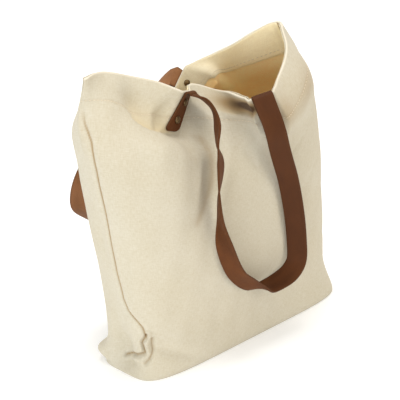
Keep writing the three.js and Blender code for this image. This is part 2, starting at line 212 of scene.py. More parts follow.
# The mouth: distance round from the left seam, the point on the rim and the point on the hem's foot below it.
MOUTH = [
    dict(round=0, rim=(-148, 26, 361), foot=(-152, 30, 331)),
    dict(round=14, rim=(-130, 29, 363), foot=(-139, 19, 330)),
    dict(round=32, rim=(-111, 30, 360), foot=(-124, 10, 326)),
    dict(round=92, rim=(-58, 9, 339), foot=(-83, -8, 305)),
    dict(round=122, rim=(-33, -6, 323), foot=(-66, 0, 294)),
    dict(round=150, rim=(-10, 6, 312), foot=(-45, 5, 284)),
    dict(round=178, rim=(8, 22, 315), foot=(-11, -14, 279)),
    dict(round=218, rim=(27, -10, 307), foot=(24, -52, 274)),
    dict(round=258, rim=(26, -56, 306), foot=(29, -72, 272)),
    dict(round=288, rim=(49, -70, 312), foot=(53, -86, 273)),
    dict(round=326, rim=(78, -54, 318), foot=(94, -74, 284)),
    dict(round=368, rim=(113, -35, 340), foot=(138, -48, 306)),
    dict(round=415, rim=(141, 1, 363), foot=(163, 0, 324)),
    dict(round=434, rim=(126, 10, 362), foot=(145, 14, 318)),
    dict(round=482, rim=(87, 35, 341), foot=(96, 50, 303)),
    dict(round=546, rim=(16, 43, 327), foot=(42, 26, 311)),
    dict(round=578, rim=(-2, 46, 306), foot=(22, 32, 290)),
    dict(round=630, rim=(-26, 84, 296), foot=(-12, 78, 262)),
    dict(round=690, rim=(-66, 98, 296), foot=(-72, 98, 260)),
    dict(round=770, rim=(-118, 66, 336), foot=(-124, 68, 302)),
    dict(round=830, rim=(-148, 26, 361), foot=(-152, 30, 331)),
]

# Dents (negative) and swells of the cloth: middle, reach across and along, depth and turn in degrees.
FOLDS = [
    dict(name="hollow in the left hem", round=80, up=350, across=30, along=14, depth=-8, turn=-8),
    dict(name="swell below the left hem", round=108, up=302, across=46, along=17, depth=11, turn=-6),
    dict(name="swell beside the strap", round=96, up=258, across=36, along=48, depth=5, turn=-15),
    dict(name="valley behind the strap", round=150, up=262, across=18, along=62, depth=-10, turn=-23),
    dict(name="bulge of the left side", round=808, up=314, across=32, along=24, depth=8, turn=0),
    dict(name="ear of the left corner", round=784, up=16, across=18, along=12, depth=12, turn=0),
    dict(name="hollow between the strap ends", round=224, up=326, across=22, along=16, depth=-4, turn=0),
    dict(name="tuck over the left corner", round=2, up=34, across=18, along=30, depth=-15, turn=0),
    dict(name="tuck over the right corner", round=413, up=34, across=18, along=30, depth=-15, turn=0),
]

# Small creases that the handled cloth keeps, in the same columns.
CREASES = [
    dict(name="crease under the right end", round=300, up=262, across=30, along=4.0, depth=-1.8, turn=22),
    dict(name="crease beside the right strand", round=330, up=205, across=34, along=5.0, depth=-1.3, turn=34),
    dict(name="lower crease by the strand", round=348, up=150, across=30, along=6.0, depth=-1.1, turn=28),
    dict(name="crease between the strands", round=224, up=278, across=5, along=26, depth=-1.6, turn=28),
    dict(name="low crease between the strands", round=262, up=154, across=5, along=22, depth=-1.4, turn=0),
    dict(name="crease over the right corner", round=400, up=36, across=16, along=3.0, depth=-2.2, turn=22),
    dict(name="swell up to the valley", round=153, up=262, across=17, along=56, depth=8.5, turn=-23),
    dict(name="deep of the valley", round=172, up=268, across=13, along=58, depth=-13.0, turn=-20),
    dict(name="dent in the left hem", round=66, up=353, across=17, along=17, depth=-6.0, turn=-20),
    dict(name="soft fold by the left corner", round=80, up=31, across=32, along=6.5, depth=-3.6, turn=-26),
    dict(name="crease in the left side", round=815, up=250, across=5, along=34, depth=-1.5, turn=8),
    dict(name="crease in the right side", round=424, up=240, across=5, along=36, depth=-1.5, turn=-6),
    dict(name="back crease", round=600, up=230, across=40, along=6.0, depth=-1.6, turn=-20),
    dict(name="back lower crease", round=700, up=170, across=44, along=7.0, depth=-1.4, turn=16),
]

# Sharper creases along a path over the cloth, as (distance round, distance up): how deep and wide, the
# roll beside it as a share of the depth, and the shade painted along it.
CREASE_PATHS = [
    dict(name="line of the valley",
         path=[(172, 320), (175, 303), (174, 287), (170, 267), (161, 246), (147, 224), (131, 202)],
         depth=-2.0, width=8.0, roll=0.1, shade=0.2),
    dict(name="boxed corner", path=[(43, 62), (36, 52), (39, 39), (28, 35), (12, 29), (-5, 21)],
         depth=-2.9, width=1.7, roll=0.5, shade=0.5),
    dict(name="pinched cloth at the corner", path=[(45, 60), (41, 51), (45, 39), (35, 30), (16, 25)],
         depth=2.4, width=2.6, roll=0.4, shade=0),
    dict(name="second tuck at the corner", path=[(49, 57), (49, 41), (44, 31), (38, 26)],
         depth=-2.4, width=1.9, roll=0.4, shade=0.3),
]

# Ledges where the cloth drops in above a swell: the line of each, its drop, how sharply it drops and how
# soon it fades, and where it begins and ends.
LEDGES = [
    dict(name="flap over the swell", drop=7.0, crisp=2.5, fade=17.0, ends=(52, 74, 132, 152),
         line=[(50, 352), (60, 340), (63, 333), (72, 329), (83, 326), (96, 324), (134, 324), (152, 325)]),
    dict(name="pinch between the strap ends", drop=6.0, crisp=2.5, fade=13.0, ends=(182, 214, 256, 268),
         line=[(182, 355), (194, 354), (203, 353), (212, 352), (226, 353), (250, 357), (268, 360)]),
]

# Shade painted into the cloth's colour in the pinch beside the right strap end and in the cloth right of it:
# middle, reach and depth.
PAINTED_SHADES = [
    dict(name="pinch beside the strap", round=250, up=366, across=14, along=7.0, shade=1.2),
    dict(name="run of the pinch", round=230, up=363, across=28, along=8.5, shade=0.95),
    dict(name="cloth right of the strap", round=300, up=350, across=18, along=18, shade=0.27),
    dict(name="cloth under the right corner", round=352, up=338, across=32, along=17, shade=0.2),
]

# The side seams wander to the front on their way down to the boxed corners: distance up and shift round.
SEAM_PATH = [
    dict(up=0, shift=41),
    dict(up=60, shift=42),
    dict(up=72, shift=39),
    dict(up=82, shift=32),
    dict(up=94, shift=22),
    dict(up=108, shift=16),
    dict(up=140, shift=12.5),
    dict(up=200, shift=14.5),
    dict(up=270, shift=14),
    dict(up=300, shift=11),
    dict(up=318, shift=4),
    dict(up=340, shift=0),
]

# Strap ends: distance round, radius of the bend above the end and how far it bends.
TABS = dict(
    front_left=dict(round=143, bend=4, sweep=150),
    front_right=dict(round=274, bend=6, sweep=150),
    back_right=dict(round=562, bend=9, sweep=60),
    back_left=dict(round=692, bend=6, sweep=150),
)

# Free run of each strap: middle of the strap and the turn of its width about the run, in degrees.
FRONT_RUN = [
    dict(at=(-8, -26, 303), turn=45),
    dict(at=(-20, -50, 284), turn=35),
    dict(at=(-31, -61, 266), turn=43),
    dict(at=(-33, -66, 246), turn=60),
    dict(at=(-46, -74, 211), turn=41),
    dict(at=(-52, -81, 185), turn=25),
    dict(at=(-49, -83, 149), turn=-18),
    dict(at=(-34, -81, 112), turn=-30),
    dict(at=(-14, -78, 90), turn=-40),
    dict(at=(3, -77, 77), turn=-28),
    dict(at=(20, -76, 71), turn=15),
    dict(at=(38, -76, 71), turn=25),
    dict(at=(59, -77, 76), turn=35),
    dict(at=(72, -77, 88), turn=45),
    dict(at=(74, -77, 113), turn=50),
    dict(at=(68, -81, 152), turn=50),
    dict(at=(56, -86, 200), turn=50),
    dict(at=(38, -93, 245), turn=52),
    dict(at=(26, -97, 280), turn=56),
]
BACK_RUN = [
    dict(at=(-4, 75, 304), turn=-120),
    dict(at=(0, 94, 284), turn=-105),
    dict(at=(6, 106, 256), turn=-90),
    dict(at=(8, 112, 212), turn=-90),
    dict(at=(6, 112, 160), turn=-105),
    dict(at=(-10, 110, 128), turn=-145),
    dict(at=(-36, 106, 118), turn=-180),
    dict(at=(-66, 106, 132), turn=-165),
    dict(at=(-101, 101, 159), turn=-150),
    dict(at=(-119, 96, 180), turn=-135),
    dict(at=(-114, 95, 204), turn=-131),
    dict(at=(-84, 101, 238), turn=-115),
    dict(at=(-72, 109, 270), turn=-95),
]


# Curves and the cloth's form
def unit(a):
    return a / np.maximum(np.linalg.norm(a, axis=-1, keepdims=True), 1e-9)


def smoothstep(x, low, high):
    t = np.clip((x - low) / (high - low), 0, 1)
    return t * t * (3 - 2 * t)


def hermite(t, span, a, b, slope_a, slope_b):
    far = 3 * t**2 - 2 * t**3
    return (1 - far) * a + far * b + span * ((t**3 - 2 * t**2 + t) * slope_a + (t**3 - t**2) * slope_b)


def slopes(knots, rows):
    shape = (-1,) + (1,) * (rows.ndim - 1)
    out = np.empty_like(rows)
    out[1:-1] = (rows[2:] - rows[:-2]) / (knots[2:] - knots[:-2]).reshape(shape)
    out[0] = (rows[1] - rows[0]) / (knots[1] - knots[0])
    out[-1] = (rows[-1] - rows[-2]) / (knots[-1] - knots[-2])
    return out


def through(knots, rows, at):
    """Smooth curve through rows of numbers at uneven knots."""
    knots, rows = np.asarray(knots, float), np.asarray(rows, float)
    lean = slopes(knots, rows)
    i = np.clip(np.searchsorted(knots, at, side="right") - 1, 0, len(knots) - 2)
    span = (knots[i + 1] - knots[i])[..., None]
    t = (at - knots[i])[..., None] / span
    return hermite(t, span, rows[i], rows[i + 1], lean[i], lean[i + 1])


def outline(level):
    """Filled outline of one level, an oval of the level's girth: distance round on the cut, x and y."""
    angle = np.pi + np.linspace(0, 2 * np.pi, OUTLINE_POINTS)
    bent = lambda x: np.sign(x) * np.abs(x) ** (2 / level["square"])
    oval = lambda half: (half * bent(np.cos(angle)), level["depth"] / 2 * bent(np.sin(angle)))
    low, high = level["depth"] / 2, GIRTH / 2
    for _ in range(HALVINGS):
        half = (low + high) / 2
        x, y = oval(half)
        if np.hypot(np.diff(x), np.diff(y)).sum() < GIRTH * level["girth"]:
            low = half
        else:
            high = half
    x, y = oval(low)
    run = np.r_[0, np.cumsum(np.hypot(np.diff(x), np.diff(y)))]
    return run / run[-1] * GIRTH, x, y


OUTLINES = [outline(level) for level in LEVELS]


def mouth_curve(edge, around):
    """Front and back of the mouth are separate curves that meet in a corner at each side seam."""
    front = [row for row in MOUTH if row["round"] <= FLAT_WIDTH]
    back = [row for row in MOUTH if row["round"] >= FLAT_WIDTH]
    halves = []
    for rows in (front, back):
        halves.append(through([row["round"] for row in rows], [row[edge] for row in rows], around))
    return np.where((around <= FLAT_WIDTH)[..., None], *halves)


def smooth_cloth(around, up):
    """Outside of the cloth before its folds."""
    around, up = np.broadcast_arrays(np.mod(around, GIRTH).astype(float), np.asarray(up, float))
    rim, foot = mouth_curve("rim", around), mouth_curve("foot", around)
    sag = foot[..., 2] / MOUTH[0]["foot"][2] - 1
    rows = []
    for level, (run, plan_x, plan_y) in zip(LEVELS, OUTLINES):
        x, y = np.interp(around, run, plan_x), np.interp(around, run, plan_y)
        share = level["mouth"]
        high = level["z"] * (1 + sag * level["up"] / HEM_FOOT)
        over_x = x + level["dx"] + share * (foot[..., 0] - x)
        over_y = y + level["dy"] + share * (foot[..., 1] - y)
        rows.append(np.stack((over_x, over_y, high), -1))
    rows = np.stack(rows + [foot, rim])
    knots = np.array([level["up"] for level in LEVELS] + [HEM_FOOT, RIM_UP], float)
    lean = slopes(knots, rows)
    i = np.clip(np.searchsorted(knots, up, side="right") - 1, 0, len(knots) - 2)
    where = np.indices(up.shape)
    pick = lambda table, k: table[(k, *where)]
    span = (knots[i + 1] - knots[i])[..., None]
    t = (up - knots[i])[..., None] / span
    return hermite(t, span, pick(rows, i), pick(rows, i + 1), pick(lean, i), pick(lean, i + 1))


def facing(surface, around, up, step=FACING_STEP):
    """Direction out of the cloth, read over a step to each side."""
    along = surface(around + step, up) - surface(around - step, up)
    rise = surface(around, np.minimum(up + step, RIM_UP)) - surface(around, np.maximum(up - step, 0))
    return unit(np.cross(along, rise))


def fold_push(folds, around, up):
    push = 0
    for fold in folds:
        turn = math.radians(fold["turn"])
        far = np.mod(around - fold["round"] + FLAT_WIDTH, GIRTH) - FLAT_WIDTH
        over = up - fold["up"]
        across = (far * math.cos(turn) + over * math.sin(turn)) / fold["across"]
        along = (over * math.cos(turn) - far * math.sin(turn)) / fold["along"]
        push = push + fold["depth"] * np.exp(-(across**2) - along**2)
    return push * smoothstep(up, 0, FOLD_START)


def soft_cloth(around, up):
    push = fold_push(FOLDS, around, up)
    return smooth_cloth(around, up) + facing(smooth_cloth, around, up) * push[..., None]


def tab_corners(tab):
    """The cloth's points behind a strap end's corners: low and high, each left and right."""
    around = tab["round"] + STRAP_WIDTH * np.array([[-0.5, 0.5], [-0.5, 0.5]])
    return soft_cloth(around, np.array([[TAB_TOP - TAB_LENGTH] * 2, [TAB_TOP] * 2], float))


def flat_patch(tab, around, up):
    corners = tab["corners"]
    over = ((around - tab["round"]) / STRAP_WIDTH + 0.5)[..., None]
    rise = ((up - TAB_TOP + TAB_LENGTH) / TAB_LENGTH)[..., None]
    low, high = (row[0] * (1 - over) + row[1] * over for row in corners)
    return low * (1 - rise) + high * rise


def held_flat(tab, around, up):
    fade = lambda x: 1 - smoothstep(x, HOLD_MARGIN, HOLD_MARGIN + HOLD_FADE)
    return fade(np.abs(around - tab["round"]) - STRAP_WIDTH / 2) * fade(TAB_TOP - TAB_LENGTH - up)


for tab in TABS.values():
    tab["corners"] = tab_corners(tab)


def cloth(around, up):
    """Outside of the cloth with its folds; each stiff strap end holds the cloth behind it flat."""
    around, up = np.broadcast_arrays(np.asarray(around, float), np.asarray(up, float))
    points = soft_cloth(around, up)
    for tab in TABS.values():
        hold = held_flat(tab, around, up)[..., None]
        points = points * (1 - hold) + flat_patch(tab, around, up) * hold
    return points


def on_cloth(around, up, out):
    return cloth(around, up) + facing(cloth, around, up) * np.asarray(out)[..., None]


def from_seam(around, up):
    """Distance round from the nearer side seam; the right seam bends the other way round."""
    bend = np.interp(up, [row["up"] for row in SEAM_PATH], [row["shift"] for row in SEAM_PATH])
    left = np.mod(around - bend + FLAT_WIDTH, GIRTH) - FLAT_WIDTH
    right = around - FLAT_WIDTH + bend
    return np.where(np.abs(left) < np.abs(right), left, right)


def bell(x, reach):
    return np.exp(-((x / reach) ** 2))


def path_distance(path, around, up):
    """Distance over the cloth from a path of straight steps."""
    far = np.mod(around + FLAT_WIDTH / 2, GIRTH) - FLAT_WIDTH / 2
    near = np.full(np.shape(far), np.inf)
    for (a, low), (b, high) in zip(path[:-1], path[1:]):
        step = (b - a) ** 2 + (high - low) ** 2
        t = np.clip(((far - a) * (b - a) + (up - low) * (high - low)) / step, 0, 1)
        near = np.minimum(near, np.hypot(far - a - t * (b - a), up - low - t * (high - low)))
    return near


def path_push(around, up):
    """Each sharp crease sinks along its path, with a soft roll of cloth beside it."""
    push = 0
    for crease in CREASE_PATHS:
        near = path_distance(crease["path"], around, up) / crease["width"]
        roll = crease["roll"] * bell(near - ROLL_AT, ROLL_REACH)
        push = push + crease["depth"] * (bell(near, 1) - roll)
    return push


def ledge_push(around, up):
    """Each ledge drops in sharply above its line and comes back out higher up."""
    far = np.mod(around + FLAT_WIDTH / 2, GIRTH) - FLAT_WIDTH / 2
    push = np.zeros(np.shape(far))
    for ledge in LEDGES:
        over = up - np.interp(far, *zip(*ledge["line"]))
        begin, full, ease, end = ledge["ends"]
        reach = smoothstep(far, begin, full) * (1 - smoothstep(far, ease, end))
        back_out = np.exp(-np.maximum(over, 0) / ledge["fade"])
        fall = smoothstep(over, -ledge["crisp"], ledge["crisp"]) * back_out
        push = push - ledge["drop"] * reach * fall
    return push


def small_relief(around, up):
    """Creases, the sunk side seams, the sewn line of the hem and a slight waver of handled cloth."""
    seam = np.abs(from_seam(around, up))
    sunk = -SEAM_SINK * bell(seam, SEAM_SINK_REACH) + SEAM_ROLL * bell(seam - SEAM_ROLL_AT, SEAM_ROLL_REACH)
    sewn = sum(-SEWN_SINK * bell(up - row, SEWN_REACH) for row in STITCH_ROWS)
    turn = 2 * np.pi * around / GIRTH
    slow, cross, fine = (np.sin(w["count"] * turn + up / w["rise"] + w["start"]) for w in WAVES)
    waver = WAVER * (slow * cross + fine) * smoothstep(up, *WAVER_START)
    free = 1 - sum(held_flat(tab, around, up) for tab in TABS.values())
    creased = fold_push(CREASES, around, up) + path_push(around, up) + ledge_push(around, up)
    return (creased + waver + sunk * smoothstep(up, *SEAM_START)) * free + sewn


def darkness(around, up):
    """How much shade is painted into the cloth's colour: along side seams, sharp tucks, the hem's sewn line
    and in spots.
    """
    seam = np.abs(from_seam(around, up))
    dark = SEAM_SHADE * bell(seam, SEAM_SHADE_REACH) * smoothstep(up, *SEAM_START)
    dark = dark * (1 - smoothstep(up, *SEAM_SHADE_END))
    for crease in CREASE_PATHS:
        near = path_distance(crease["path"], around, up)
        dark = dark + crease["shade"] * bell(near, CREASE_SHADE_REACH * crease["width"])
    for row in STITCH_ROWS:
        dark = dark + SEWN_SHADE * bell(up - row, SEWN_SHADE_REACH)
    for spot in PAINTED_SHADES:
        far, over = (around - spot["round"]) / spot["across"], (up - spot["up"]) / spot["along"]
        dark = dark + spot["shade"] * np.exp(-(far**2) - over**2)
    return dark


# Meshes
def add_object(name, data):
    made = bpy.data.objects.new(name, data)
    scene.collection.objects.link(made)
    return made


def new_object(name, points, faces, material, uv, marks):
    """A smooth mesh in the row frame with its cut as a UV map and named marks on its points."""
    mesh = bpy.data.meshes.new(name)
    mesh.from_pydata((np.asarray(points) * MM + shift).tolist(), [], faces)
    mesh.polygons.foreach_set("use_smooth", [True] * len(mesh.polygons))
    loops = np.empty(len(mesh.loops), np.int32)
    mesh.loops.foreach_get("vertex_index", loops)
    layer = mesh.uv_layers.new(name="cut")
    layer.data.foreach_set("uv", (np.asarray(uv)[loops] * MM).astype(np.float32).ravel())
    for mark_name, values in marks.items():
        attribute = mesh.attributes.new(mark_name, "FLOAT", "POINT")
        attribute.data.foreach_set("value", np.asarray(values, np.float32).ravel())
    mesh.materials.append(material)
    mesh.validate()
    return add_object(name, mesh)


def spaced(stops, step):
    parts = []
    for a, b in zip(stops[:-1], stops[1:]):
        parts.append(np.linspace(a, b, max(1, round((b - a) / step)), endpoint=False))
    return np.concatenate(parts)


def seam_columns():
    """Columns round the bag, closer together where the side seams run."""
    left, right = SEAM_REACH, FLAT_WIDTH - SEAM_REACH
    past_right, before_left = FLAT_WIDTH + SEAM_MARGIN, GIRTH - SEAM_MARGIN
    close = [spaced(span, SEAM_STEP) for span in ([0, left], [right, past_right], [before_left, GIRTH])]
    plain = [spaced(span, CLOTH_STEP) for span in ([left, right], [past_right, before_left])]
    return np.sort(np.concatenate(close + plain))


def wall_rows():
    """Distances up the wall, closer together in the boxed corners and near the mouth."""
    corner = spaced([0, CORNER_TOP], CORNER_STEP)
    plain = spaced([CORNER_TOP, INSIDE_FINE_UP], CLOTH_STEP)
    fine = spaced([INSIDE_FINE_UP, HEM_FOOT, RIM_UP], FINE_STEP)
    return np.r_[corner, plain, fine, RIM_UP]


def ring_faces(rows, columns, closed):
    faces = []
    for j in range(rows if closed else rows - 1):
        low, high = j * columns, (j + 1) % rows * columns
        for i in range(columns):
            k = (i + 1) % columns
            faces.append((low + i, low + k, high + k, high + i))
    return faces


def end_faces(rows, columns):
    """One face over each open end of a run of rings."""
    return [tuple(range(columns - 1, -1, -1)), tuple(range((rows - 1) * columns, rows * columns))]


def ring_uv(across, along):
    """Place on the cut of every point: one place across for a column, one along for a ring."""
    return np.stack(np.meshgrid(across, along), -1).reshape(-1, 2)


def lowest_near(values, reach):
    """The lowest value within a few rows and columns; the columns close on themselves."""
    rows = np.pad(values, ((reach, reach), (0, 0)), mode="edge")
    low = np.min([rows[k:k + len(values)] for k in range(2 * reach + 1)], axis=0)
    return np.min([np.roll(low, k, axis=1) for k in range(-reach, reach + 1)], axis=0)


def wall_sides(columns, ups, kept):
    """Points of the outside and, for the kept rows, of the inside, which stays clear of the creases."""
    around, up = np.meshgrid(columns, ups)
    out = facing(cloth, around, up)
    relief = small_relief(around, up)
    outer = cloth(around, up) + out * relief[..., None]
    outer[0, :, 2] = 0
    seam = np.abs(from_seam(around, up))
    layers = SEAM_LAYERS * (1 - smoothstep(seam, SEAM_ALLOWANCE - ALLOWANCE_FADE, SEAM_ALLOWANCE))
    layers = layers * (up < LAYERS_TOP)
    inward = facing(cloth, around[kept], up[kept], INSIDE_REACH)
    deepest = lowest_near(np.minimum(relief, 0), INSIDE_CLEAR)[kept]
    inner = cloth(around[kept], up[kept]) + inward * (deepest - WALL - layers[kept])[..., None]
    inner[0] = outer[0] - unit(out[0] * (1, 1, 0)) * WALL
    inner[0, :, 2] = WALL
    return outer, inner


def wall_marks(columns, ups, kept):
    """Marks on the wall's rings, all painted light and shade: inside glow, outside shade, the edge's
    highlight and light under a ledge.
    """
    around, up = np.meshgrid(columns, ups)
    spot = PAINTED_INSIDE_SPOT["more"] * bell(around[kept] - PAINTED_INSIDE_SPOT["round"], PAINTED_INSIDE_SPOT["across"])
    depth = PAINTED_INSIDE_LIGHT + spot * (1 - smoothstep(up[kept], *PAINTED_INSIDE_SPOT["fade"]))
    rows = len(ups)
    inside, sunk, rim, bounce = np.zeros((4, rows + 1 + len(kept), len(columns)))
    # The inside face takes the painted warm light.
    inside[rows + 1:] = depth[::-1]
    # Painted shade on the outside rows.
    sunk[:rows] = darkness(around, up)
    # Painted highlight on the rows round the rim's edge.
    rim[rows - 1:rows + 2] = 1
    # Painted warm light where a ledge drops in.
    bounce[:rows] = -BOUNCE * ledge_push(around, up)
    return dict(inside=inside, sunk=sunk, rim=rim, bounce=bounce)


def body_mesh(material):
    """The wall as rings up the outside, over the edge and down the inside, closed by two bottoms."""
    columns, ups = seam_columns(), wall_rows()
    kept = np.flatnonzero((np.arange(len(ups)) % INSIDE_STEP == 0) | (ups > INSIDE_FINE_UP))
    outer, inner = wall_sides(columns, ups, kept)
    lip = (outer[-1] + inner[-1]) / 2 + unit(outer[-1] - outer[-2]) * WALL * WALL_LIP
    rings = np.concatenate([outer, lip[None], inner[::-1]])
    size = (len(rings), len(columns))
    faces = ring_faces(*size, False) + end_faces(*size)
    uv = ring_uv(columns, np.r_[ups, RIM_UP, ups[kept][::-1]])
    marks = wall_marks(columns, ups, kept)
    made = new_object("canvas_shell", rings.reshape(-1, 3), faces, material, uv, marks)
    layer = made.data.uv_layers["cut"].data
    for bottom in made.data.polygons[-2:]:
        for loop in bottom.loop_indices:
            layer[loop].uv = made.data.vertices[made.data.loops[loop].vertex_index].co.xy
    return made


def hem_mesh(material):
    """The turned-in band, a thin closed ring just inside the wall, and the lines of its stitches."""
    columns = seam_columns()
    ups = np.r_[spaced([HEM_FOOT, RIM_UP], CLOTH_STEP), RIM_UP]
    around, up = np.meshgrid(columns, ups)
    inward = facing(cloth, around, up, INSIDE_REACH)
    deepest = lowest_near(np.minimum(small_relief(around, up), 0), INSIDE_CLEAR)[..., None]
    outer = cloth(around, up) + inward * (deepest - WALL - GAP)
    inner = outer - inward * HEM_THICK
    lip = (outer[-1] + inner[-1]) / 2 + unit(outer[-1] - outer[-2]) * HEM_THICK * HEM_LIP
    foot = (outer[0] + inner[0]) / 2 - unit(outer[1] - outer[0]) * HEM_THICK * HEM_LIP
    rings = np.concatenate([foot[None], outer, lip[None], inner[::-1]])
    size = (len(rings), len(columns))
    uv = ring_uv(columns, np.r_[HEM_FOOT, ups, RIM_UP, ups[::-1]])
    inside, sunk = np.zeros((2, *size))
    # The foot and the inner face take the painted glow of light through the cloth, less of it round a spot on
    # the back.
    glow = HEM_GLOW - HEM_LESS_GLOW["less"] * bell(columns - HEM_LESS_GLOW["round"], HEM_LESS_GLOW["across"])
    inside[0] = glow
    inside[len(ups) + 2:] = glow
    # Painted shade of three small folds beside the right seam, on every ring of the band.
    folds = sum(bell(columns - FLAT_WIDTH - far, HEM_FOLD_REACH) for far in HEM_PAINTED_FOLDS)
    sunk[:] = HEM_FOLD_SHADE * folds
    faces = ring_faces(*size, True)
    made = new_object("hem_band", rings.reshape(-1, 3), faces, material, uv, dict(inside=inside, sunk=sunk))
    sewn = [np.argmin(np.abs(ups - row)) for row in STITCH_ROWS]
    return made, [(columns, inner[row] - inward[row] * STITCH_SUNK) for row in sewn]


# Straps
def tab_rows(tab):
    """Rows of points across a strap end that lies on the cloth, lowest first, with its corners rounded."""
    rise = np.r_[TAB_RISES, spaced([TAB_CORNER + TAB_STEP, TAB_LENGTH], TAB_STEP), TAB_LENGTH]
    near = np.minimum(rise, TAB_CORNER)
    half = STRAP_WIDTH / 2 - TAB_CORNER + np.sqrt(TAB_CORNER**2 - (TAB_CORNER - near) ** 2)
    around = tab["round"] + 2 * ACROSS[None] * half[:, None]
    up = np.broadcast_to((TAB_TOP - TAB_LENGTH + rise)[:, None], around.shape)
    return on_cloth(around, up, np.full(around.shape, STRAP_SEAT + STRAP_THICK / 2))


def bend_rows(tab):
    """Rows over the bend above a strap end, straightening across as it leaves the cloth."""
    below, top = tab_rows(tab)[-2:]
    wide = unit(top[-1] - top[0])
    out = facing(cloth, np.array(float(tab["round"])), np.array(float(TAB_TOP)))
    face = unit(out - wide * (out @ wide))
    high = np.cross(face, wide)
    high = high * np.sign(high @ (top.mean(0) - below.mean(0)))
    foot = top.mean(0)
    rows = []
    for k in range(BEND_STEPS):
        angle = math.radians(tab["sweep"] * (k + 1) / BEND_STEPS)
        keep = max(0, 1 - angle / BEND_SETTLE)
        at = foot + high * tab["bend"] * math.sin(angle) + face * tab["bend"] * (1 - math.cos(angle))
        rows.append(at + np.outer(ACROSS * STRAP_WIDTH, wide) * (1 - keep) + (top - foot) * keep)
    return np.array(rows)


def strap_rows(start, end, run):
    """Rows across a whole strap from one end to the other."""
    start_tab, start_bend = tab_rows(start), bend_rows(start)
    end_tab, end_bend = tab_rows(end)[:, ::-1], bend_rows(end)[:, ::-1]
    points = np.array([start_bend[-1].mean(0), *[row["at"] for row in run], end_bend[-1].mean(0)])
    knots = np.r_[0, np.cumsum(np.linalg.norm(np.diff(points, axis=0), axis=1))]
    last = knots[-1]
    middle = lambda q: through(knots, points, q)
    heading = lambda q: unit(
        middle(np.minimum(q + HEADING_STEP, last)) - middle(np.maximum(q - HEADING_STEP, 0)))
    across = lambda row: unit(row[-1] - row[0])
    ahead = heading(knots[1:-1])
    square = unit(np.array([0, 1, 0]) - ahead * ahead[:, 1:2])
    turn = np.radians([row["turn"] for row in run])[:, None]
    turned = square * np.cos(turn) + np.cross(ahead, square) * np.sin(turn)
    widths = np.array([across(start_bend[-1]), *turned, across(end_bend[-1])])
    q = np.linspace(0, last, int(last / RUN_STEP) + 1)[1:-1]
    ahead = heading(q)
    wide = through(knots, widths, q)
    wide = unit(wide - ahead * (wide * ahead).sum(1, keepdims=True))
    free = middle(q)[:, None] + ACROSS[None, :, None] * STRAP_WIDTH * wide[:, None]
    return np.concatenate([start_tab, start_bend, free, end_bend[::-1], end_tab[::-1]])


def strap_mesh(name, rows, material, raw):
    """A closed strap with rounded edges round rows along its middle; a raw strap shows its flesh side."""
    along = np.gradient(rows, axis=0)
    across = np.gradient(rows, axis=1)
    face, side = unit(np.cross(across, along)), unit(across)
    half = STRAP_THICK / 2
    inset = np.zeros(len(ACROSS))
    inset[0], inset[-1] = STRAP_EDGE, -STRAP_EDGE
    flat = rows + side * inset[None, :, None]
    upper, lower = flat + face * half, flat - face * half

    def edge(i, sign):
        turned = rows[:, i] + sign * side[:, i] * -STRAP_EDGE * EDGE_INSET
        lift = face[:, i] * half * EDGE_LIFT
        return np.stack([turned + lift, rows[:, i], turned - lift], 1)

    loops = np.concatenate([upper, edge(-1, 1), lower[:, ::-1], edge(0, -1)[:, ::-1]], axis=1)
    size = loops.shape[:2]
    faces = ring_faces(*size, False) + end_faces(*size)
    run = np.r_[0, np.cumsum(np.linalg.norm(np.diff(rows.mean(1), axis=0), axis=1))]
    places = ACROSS * STRAP_WIDTH
    beside = np.ones(EDGE_POINTS)
    uv = ring_uv(np.r_[places, beside * places[-1], places[::-1], beside * places[0]], run)
    flesh = np.repeat([FLESH_UPPER * raw, 0, raw, 0], [len(ACROSS), EDGE_POINTS] * 2)
    rubbed = np.r_[EDGE_MARK, np.zeros(len(ACROSS) - 2), EDGE_MARK, beside]
    # The front strap's colour darkens from the middle of its run to its right end; the raw back strap keeps
    # its tone.
    darker_end = (1 - raw) * smoothstep(run / run[-1], *DARKER_END_RUN)
    marks = dict(
        edge=np.tile(np.r_[rubbed, rubbed], len(rows)),
        flesh=np.tile(flesh, len(rows)),
        darker_end=np.repeat(darker_end, size[1]),
    )
    return new_object(name, loops.reshape(-1, 3), faces, material, uv, marks)


# Nodes
def operator(operation, reflected=False):
    def apply(self, other):
        return self.math(operation, *((other, self) if reflected else (self, other)))
    return apply


class Wire:
    """A node socket in Python expressions: values add Math nodes."""

    def __init__(self, tree, socket):
        self.tree, self.socket = tree, socket

    def math(self, operation, *values):
        sockets = {str(i): value for i, value in enumerate(values)}
        return add_node(self.tree, "ShaderNodeMath", dict(operation=operation), **sockets)

    __add__ = operator("ADD")
    __radd__ = operator("ADD", reflected=True)
    __sub__ = operator("SUBTRACT")
    __rsub__ = operator("SUBTRACT", reflected=True)
    __mul__ = operator("MULTIPLY")
    __rmul__ = operator("MULTIPLY", reflected=True)


def feed(node, **sockets):
    """Set or link a node's sockets, numbered or named with underscores for spaces."""
    for key, value in sockets.items():
        socket = node.inputs[int(key) if key.isdigit() else key.replace("_", " ")]
        if isinstance(value, Wire):
            value.tree.links.new(value.socket, socket)
        else:
            socket.default_value = value


def add_node(tree, kind, settings=None, out=0, **sockets):
    """One node: its settings first, then the values or links of its sockets."""
    node = tree.nodes.new(kind)
    for key, value in (settings or {}).items():
        setattr(node, key, value)
    feed(node, **sockets)
    return Wire(tree, node.outputs[out])


# Materials
def new_material(name):
    material = bpy.data.materials.new(name)
    material.use_nodes = True
    tree = material.node_tree
    return material, tree, tree.nodes["Principled BSDF"]


def clamp01(wire):
    return add_node(wire.tree, "ShaderNodeClamp", Value=wire)


def mix_colour(factor, a, b):
    sockets = {"0": factor, "6": a, "7": b}
    return add_node(factor.tree, "ShaderNodeMix", dict(data_type="RGBA"), out=2, **sockets)


